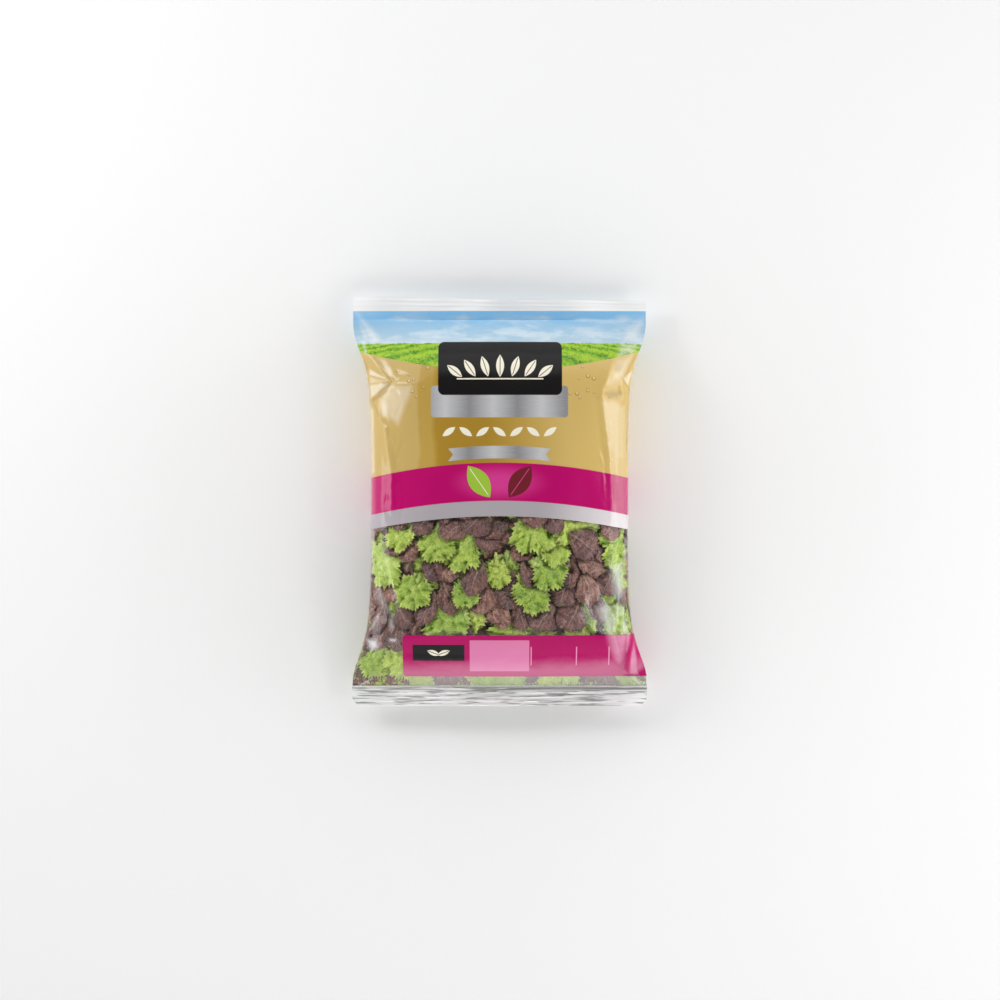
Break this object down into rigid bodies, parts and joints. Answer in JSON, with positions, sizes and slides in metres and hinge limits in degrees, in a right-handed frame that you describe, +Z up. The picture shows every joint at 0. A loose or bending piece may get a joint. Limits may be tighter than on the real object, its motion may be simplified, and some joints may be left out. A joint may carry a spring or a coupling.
{
  "type": "bag of salad leaves",
  "caption": "Sealed pillow bag of mixed green and red lettuce leaves, lying on its back, with crimped seals at both ends, a printed upper half and a clear window.",
  "frame": {"origin": "on the table, under the middle of the bag's outline", "axes": "+X across the bag, +Y from the bottom seal to the top seal, +Z up out of the printed front"},
  "size_m": [0.2486, 0.345, 0.0787],
  "materials": {
    "printed_film": "glossy film printed in gold, magenta, silver grey, sky blue and green",
    "clear_film": "thin clear glossy film, slightly hazy",
    "green_leaf": "soft satin curly green lettuce leaf",
    "red_leaf": "soft satin red-brown lettuce leaf with pale veins",
    "label_print": "magenta band printed on the clear film, with plain pale and dark fields"
  },
  "bodies": {
    "root": {"bag": "printed_film"}
  },
  "joints": []
}
